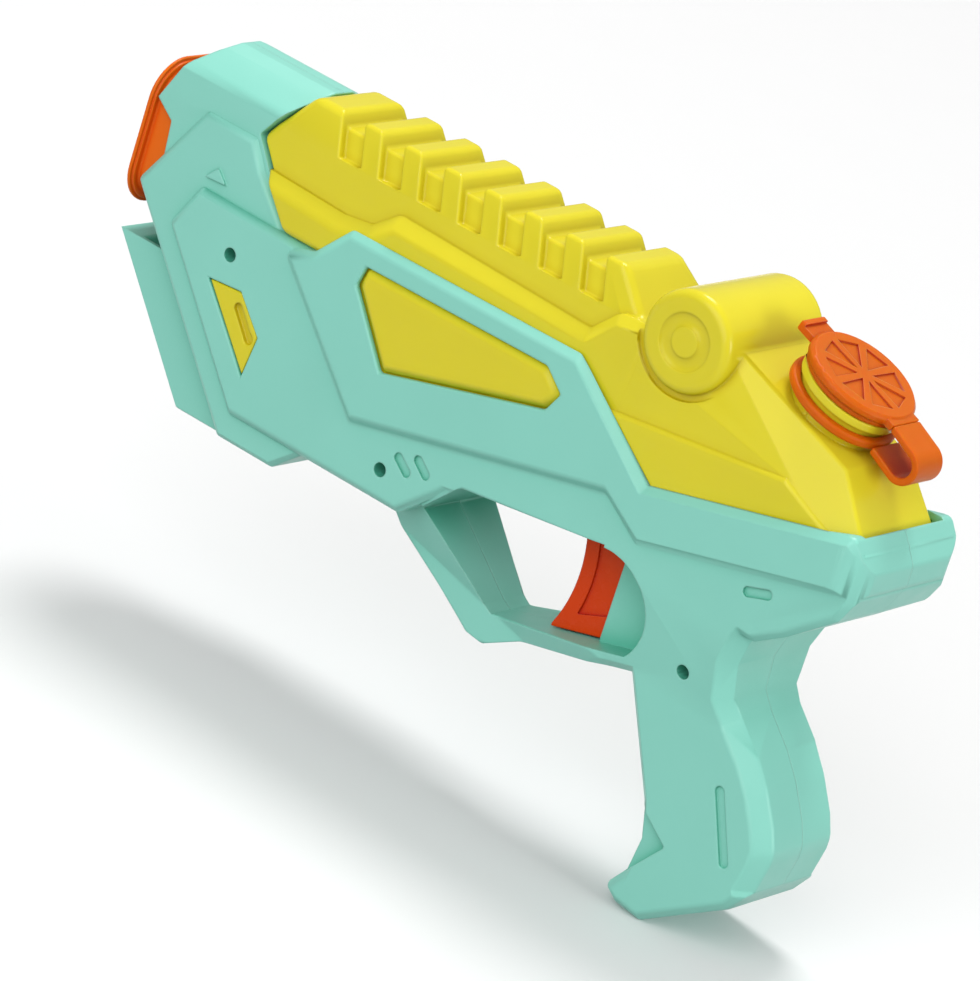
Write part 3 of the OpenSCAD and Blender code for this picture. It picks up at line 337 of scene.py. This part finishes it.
def clear_vinyl():
    # Plasticised vinyl hose, extruded: clear but milky, with haze about 4 mm across.
    mat, tree = bare_material("extruded_clear_vinyl")
    rgb = colours().vinyl
    place = add(tree, "ShaderNodeTexCoord").outputs["Object"]
    haze = add(tree, "ShaderNodeTexNoise", {"Vector": place, "Scale": 1 / (4 * MM), "Detail": 2.0})
    tint = add(tree, "ShaderNodeMix", {
        "Factor": haze.outputs["Fac"], "A": shade(rgb, 0.9), "B": shade(rgb, 1.0)}, data_type="RGBA")
    gloss = add(tree, "ShaderNodeMapRange", {"Value": haze.outputs["Fac"], "To Min": 0.2, "To Max": 0.35})
    shader = add(tree, "ShaderNodeBsdfPrincipled", {
        "Base Color": tint.outputs["Result"], "IOR": 1.53, "Roughness": gloss.outputs["Result"],
        "Transmission Weight": 0.6})
    add(tree, "ShaderNodeOutputMaterial", {"Surface": shader.outputs["BSDF"]})
    return mat


def studio_paper():
    # Seamless studio paper, matt, with faint clouds about 40 mm across.
    mat, tree = bare_material("white_studio_paper")
    rgb = colours().floor
    place = add(tree, "ShaderNodeTexCoord").outputs["Object"]
    tooth = add(tree, "ShaderNodeTexNoise", {"Vector": place, "Scale": 1 / (40 * MM), "Detail": 3.0})
    tint = add(tree, "ShaderNodeMix", {
        "Factor": tooth.outputs["Fac"], "A": shade(rgb, 0.99), "B": shade(rgb, 1.0)}, data_type="RGBA")
    shader = add(tree, "ShaderNodeBsdfPrincipled", {"Base Color": tint.outputs["Result"], "Roughness": 0.9})
    add(tree, "ShaderNodeOutputMaterial", {"Surface": shader.outputs["BSDF"]})
    return mat


def merged_copy(node):
    """A copy of a CAD node's mesh, its loose triangles joined."""
    bm = bmesh.new()
    bm.from_mesh(frame["nodes"][node].data)
    bmesh.ops.remove_doubles(bm, verts=bm.verts, dist=MERGE)
    return bm


def is_sharp(edge):
    return len(edge.link_faces) == 2 and edge.calc_face_angle(0.0) > SHARP


def room_across(loop, start):
    """How far a bevel may run over a face from a point of its edge, until the next sharp edge."""
    face, skip, here, total = loop.face, loop.edge, start.copy(), 0.0
    into = face.normal.cross((loop.link_loop_next.vert.co - loop.vert.co).normalized())
    for _ in range(WALK_FACES):
        best, hit = None, None
        side = face.normal.cross(into)
        for other in face.edges:
            a, b = other.verts[0].co - here, other.verts[1].co - here
            da, db = a.dot(side), b.dot(side)
            if other is skip or (da > 0) == (db > 0):
                continue
            reach = (a + (b - a) * (da / (da - db))).dot(into)
            if reach > SHORTEST_STEP and (best is None or reach < best):
                best, hit = reach, other
        if hit is None:
            return total or 1.0
        total += best
        if is_sharp(hit) or len(hit.link_faces) != 2 or total > WALK_LENGTH:
            return total
        here = here + into * best
        face = next(f for f in hit.link_faces if f is not face)
        into = (into - face.normal * into.dot(face.normal)).normalized()
        skip = hit
    return total


def weigh_edges(bm, width):
    """Gives each sharp edge a bevel weight, as far as the faces beside it leave room."""
    layer = bm.edges.layers.float.new("bevel_weight_edge")
    for edge in bm.edges:
        if not is_sharp(edge) or all(abs(vert.co.y) < SEAM for vert in edge.verts):
            continue
        free = width / ROOM
        for loop in edge.link_loops:
            for part in PROBES:
                free = min(free, room_across(loop, edge.verts[0].co.lerp(edge.verts[1].co, part)))
        edge[layer] = ROOM * free / width
    return layer


def ease_edges(bm, layer, wrong, width):
    """Makes the rounds smaller on the edges beside the faults."""
    spots = KDTree(len(wrong))
    for index, spot in enumerate(wrong):
        spots.insert(spot, index)
    spots.balance()
    for edge in bm.edges:
        if edge[layer] > 0:
            a, b = edge.verts[0].co, edge.verts[1].co
            middle, reach = (a + b) / 2, (b - a).length / 2 + FAULT_REACH * width
            for spot, _, _ in spots.find_range(middle, reach):
                on = max(0.0, min(1.0, (spot - a).dot(b - a) / (b - a).length_squared))
                if (a + (b - a) * on - spot).length < FAULT_REACH * width:
                    edge[layer] *= EASE
                    break
            if edge[layer] < LEAST_WEIGHT:
                edge[layer] = 0.0


def bevelled(mesh, width, segments):
    """The mesh with its weighted edges rounded."""
    block = bpy.data.objects.new("rounding", mesh)
    bpy.context.scene.collection.objects.link(block)
    bevel = block.modifiers.new("edge_round", "BEVEL")
    bevel.width = width
    bevel.segments = segments
    bevel.profile = 0.5
    bevel.material = -1
    bevel.limit_method = "WEIGHT"
    bevel.use_clamp_overlap = False
    bevel.face_strength_mode = "FSTR_ALL"
    made = bpy.data.meshes.new_from_object(block.evaluated_get(bpy.context.evaluated_depsgraph_get()))
    bpy.data.objects.remove(block)
    bm = bmesh.new()
    bm.from_mesh(made)
    bpy.data.meshes.remove(made)
    bm.normal_update()
    return bm


def faults(bm, skin, normals, width):
    """Places where the rounded mesh leaves the skin that it came from, or folds over."""
    found = []
    cut = bm.copy()
    bmesh.ops.triangulate(cut, faces=cut.faces)
    cut.normal_update()
    for vert in cut.verts:
        gap = skin.find_nearest(vert.co)[3]
        if gap > STRAY * width:
            found.append(vert.co.copy())
            found.extend(edge.other_vert(vert).co.copy() for edge in vert.link_edges)
    for face in cut.faces:
        near = skin.find_nearest_range(face.calc_center_median(), SKIN_SLACK + NEARBY * width)
        if face.calc_area() > SLIVER and near and max(face.normal.dot(normals[n[2]]) for n in near) < FOLDED:
            found.extend(vert.co.copy() for vert in face.verts)
    cut.free()
    return found


def rounded(node, name, width, segments):
    """A mesh like a CAD node's, with its edges rounded as far as each face leaves room."""
    bm = merged_copy(node)
    for vert in bm.verts:
        if abs(vert.co.y) < SEAM:
            vert.co.y = 0.0
    skin = BVHTree.FromBMesh(bm)
    bm.normal_update()
    normals = [face.normal.copy() for face in bm.faces]
    bmesh.ops.dissolve_limit(bm, angle_limit=FLAT, verts=bm.verts, edges=bm.edges)
    bm.normal_update()
    layer = weigh_edges(bm, width)
    mesh = bpy.data.meshes.new(name)
    for attempt in range(ROUNDS):
        bm.to_mesh(mesh)
        made = bevelled(mesh, width, segments)
        wrong = faults(made, skin, normals, width)
        if not wrong or attempt == ROUNDS - 1:
            break
        made.free()
        ease_edges(bm, layer, wrong, width)
    bm.free()
    for face in made.faces:
        face.smooth = True
    made.to_mesh(mesh)
    made.free()
    return mesh


def placed(name, mesh, node, body, material):
    """Puts a finished mesh in the scene, in the place of its CAD node."""
    mesh.materials.clear()
    mesh.materials.append(material)
    piece = bpy.data.objects.new(name, mesh)
    bpy.context.scene.collection.objects.link(piece)
    if body:
        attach(piece, body)
    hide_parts(node)
    return piece


def softened(node, name, width, segments, body, material):
    """A piece made of a CAD node with its edges rounded, and shaded evenly."""
    mesh = rounded(node, name, width, segments)
    piece = placed(name, mesh, node, body, material)
    mesh.set_sharp_from_angle(angle=CREASE)
    even = piece.modifiers.new("even_shading", "WEIGHTED_NORMAL")
    even.mode = "FACE_AREA"
    even.keep_sharp = True
    even.use_face_influence = True
    return piece


def finish_nodes(material, *names):
    """Gives CAD nodes that stay as they are a better material."""
    for name in names:
        mesh = frame["nodes"][name].data
        mesh.materials.clear()
        mesh.materials.append(material)


class SQUIRTER_OT_shells(bpy.types.Operator):
    """Makes the two teal shells with rounded edges"""
    bl_idname = "squirter.shells"
    bl_label = "Body shells"

    def execute(self, context):
        teal = satin_teal_abs()
        for hand in ("left", "right"):
            softened(hand + "_shell", hand + "_body_shell", sizes().shell_round, 3, "body", teal)
        return {"FINISHED"}


class SQUIRTER_OT_tank(bpy.types.Operator):
    """Makes the yellow tank and the two inlays"""
    bl_idname = "squirter.tank"
    bl_label = "Water tank"

    def execute(self, context):
        yellow = glossy_yellow_pp()
        softened("water_tank", "blown_tank", sizes().tank_round, 4, "body", yellow)
        for hand in ("left", "right"):
            softened(hand + "_inlay", hand + "_panel_inlay", sizes().trim_round, 3, "body", yellow)
        return {"FINISHED"}


class SQUIRTER_OT_muzzle(bpy.types.Operator):
    """Makes the bezel at the muzzle"""
    bl_idname = "squirter.muzzle"
    bl_label = "Muzzle"

    def execute(self, context):
        softened("muzzle_bezel", "muzzle_bezel_moulding", sizes().trim_round, 3, "body",
                 satin_orange_abs())
        return {"FINISHED"}


class SQUIRTER_OT_cap(bpy.types.Operator):
    """Makes the filler cap, its strap and the strap's ring"""
    bl_idname = "squirter.cap"
    bl_label = "Filler cap"

    def execute(self, context):
        orange = soft_orange_pe()
        softened("filler_cap", "stopper_cap", sizes().trim_round, 3, "cap", orange)
        softened("strap_ring", "neck_ring", sizes().trim_round, 3, "body", orange)
        strap = softened("cap_strap", "looped_strap", sizes().strap_round, 3, None, orange)
        self.bend(strap)
        return {"FINISHED"}

    def bend(self, strap):
        """Cuts the strap closely across, and lets its loop bend with the cap."""
        hinge = Vector(joint("cap_hinge")["pos_m"])
        along = Vector((cos(NECK_TILT), 0.0, -sin(NECK_TILT)))
        bm = bmesh.new()
        bm.from_mesh(strap.data)
        for step in range(1, STRAP_CUTS):
            at = hinge - along * (STRAP_STRAIGHT * step / STRAP_CUTS)
            bmesh.ops.bisect_plane(bm, geom=bm.verts[:] + bm.edges[:] + bm.faces[:], plane_co=at, plane_no=along)
        bm.to_mesh(strap.data)
        bm.free()
        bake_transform(strap)


class SQUIRTER_OT_trigger(bpy.types.Operator):
    """Makes the trigger"""
    bl_idname = "squirter.trigger"
    bl_label = "Trigger"

    def execute(self, context):
        softened("trigger", "pull_trigger", sizes().trim_round, 3, "trigger", satin_trigger_abs())
        return {"FINISHED"}


class SQUIRTER_OT_screws(bpy.types.Operator):
    """Makes the shell screws"""
    bl_idname = "squirter.screws"
    bl_label = "Shell screws"

    def execute(self, context):
        softened("shell_screws", "cross_head_screws", sizes().fine_round, 2, "body", zinc_steel())
        return {"FINISHED"}


class SQUIRTER_OT_pump(bpy.types.Operator):
    """Finishes the pump, the hoses and the jet, which stay inside, and copies the return spring"""
    bl_idname = "squirter.pump"
    bl_label = "Pump and hoses"

    def execute(self, context):
        finish_nodes(natural_pom(), "nozzle_jet", "piston", "pump_cylinder", "pump_gland", "outlet_elbow")
        finish_nodes(moulded_rubber(), "jet_seal", "piston_seal", "inlet_valve", "outlet_valve")
        finish_nodes(clear_vinyl(), "inlet_hose", "outlet_hose")
        self.wind(zinc_steel())
        return {"FINISHED"}

    def wind(self, steel):
        """Copies the return spring, which closes up as the piston comes in."""
        bm = merged_copy("return_spring")
        for face in bm.faces:
            face.smooth = True
        mesh = bpy.data.meshes.new("wound_spring")
        bm.to_mesh(mesh)
        bm.free()
        spring = placed("wound_spring", mesh, "return_spring", None, steel)
        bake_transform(spring)


class SQUIRTER_OT_stage(bpy.types.Operator):
    """Makes the floor, the studio light and the camera"""
    bl_idname = "squirter.stage"
    bl_label = "Stage"

    def execute(self, context):
        scene = context.scene
        self.lay_floor(scene)
        self.light_sky(scene)
        for name, place, size, power in LAMPS:
            self.hang_lamp(scene, name, place, size, power)
        self.set_camera(scene)
        scene.view_settings.view_transform = "Standard"
        return {"FINISHED"}

    def lay_floor(self, scene):
        bm = bmesh.new()
        bmesh.ops.create_grid(bm, x_segments=2, y_segments=2, size=FLOOR_HALF)
        mesh = bpy.data.meshes.new("studio_floor")
        bm.to_mesh(mesh)
        bm.free()
        mesh.materials.append(studio_paper())
        floor = bpy.data.objects.new("studio_floor", mesh)
        scene.collection.objects.link(floor)
        floor.visible_diffuse = False

    def light_sky(self, scene):
        world = bpy.data.worlds.new("studio")
        world.use_nodes = True
        tree = world.node_tree
        way = add(tree, "ShaderNodeVectorMath", {
            0: add(tree, "ShaderNodeTexCoord").outputs["Generated"], 1: SKY_WAY}, operation="DOT_PRODUCT")
        rise = add(tree, "ShaderNodeMapRange", {
            "Value": way.outputs["Value"], "From Min": -1.0, "From Max": 1.0,
            "To Min": SKY_STRENGTH[0], "To Max": SKY_STRENGTH[1]})
        tree.nodes["Background"].inputs["Color"].default_value = (1.0, 1.0, 1.0, 1.0)
        tree.links.new(rise.outputs["Result"], tree.nodes["Background"].inputs["Strength"])
        scene.world = world

    def hang_lamp(self, scene, name, place, size, power):
        lamp = bpy.data.lights.new(name, "AREA")
        lamp.shape = "DISK"
        lamp.size = size
        lamp.energy = power
        held = bpy.data.objects.new(name, lamp)
        scene.collection.objects.link(held)
        held.location = place
        held.rotation_euler = (MIDDLE - Vector(place)).to_track_quat("-Z", "Y").to_euler()

    def set_camera(self, scene):
        turn, rise, roll = sizes().view_azimuth, sizes().view_elevation, sizes().view_roll
        back = Vector((sin(turn) * cos(rise), -cos(turn) * cos(rise), sin(rise)))
        right = Vector((cos(turn), sin(turn), 0.0))
        up = back.cross(right)
        across = cos(roll) * right + sin(roll) * up
        above = cos(roll) * up - sin(roll) * right
        seen = Matrix((across, above, back)).transposed().to_4x4()
        seen.translation = MIDDLE + back * sizes().view_distance
        lens = bpy.data.cameras.new("photo_camera")
        lens.sensor_fit = "HORIZONTAL"
        lens.sensor_width = SENSOR_MM
        lens.lens = SENSOR_MM * PHOTO_FOCAL / PHOTO_WIDTH
        lens.clip_end = 50.0
        camera = bpy.data.objects.new("photo_camera", lens)
        scene.collection.objects.link(camera)
        camera.matrix_world = seen
        scene.camera = camera


STEPS = (SQUIRTER_OT_shells, SQUIRTER_OT_tank, SQUIRTER_OT_muzzle, SQUIRTER_OT_cap, SQUIRTER_OT_trigger,
         SQUIRTER_OT_screws, SQUIRTER_OT_pump, SQUIRTER_OT_stage)


class SQUIRTER_PT_panel(bpy.types.Panel):
    """Lists the squirter's pieces"""
    bl_idname = "SQUIRTER_PT_panel"
    bl_label = "Squirter"
    bl_space_type = "VIEW_3D"
    bl_region_type = "UI"
    bl_category = "Squirter"

    def draw(self, context):
        for step in STEPS:
            self.layout.operator(step.bl_idname)
        for group in (context.scene.squirter_sizes, context.scene.squirter_colours):
            box = self.layout.box()
            for key in group.__annotations__:
                box.prop(group, key)


CLASSES = (SquirterSizes, SquirterColours) + STEPS + (SQUIRTER_PT_panel,)


def register():
    for one in CLASSES:
        bpy.utils.register_class(one)
    bpy.types.Scene.squirter_sizes = bpy.props.PointerProperty(type=SquirterSizes)
    bpy.types.Scene.squirter_colours = bpy.props.PointerProperty(type=SquirterColours)


def unregister():
    del bpy.types.Scene.squirter_colours
    del bpy.types.Scene.squirter_sizes
    for one in reversed(CLASSES):
        bpy.utils.unregister_class(one)


def main():
    register()
    for step in STEPS:
        family, call = step.bl_idname.split(".")
        getattr(getattr(bpy.ops, family), call)()


if __name__ == "__main__":
    main()
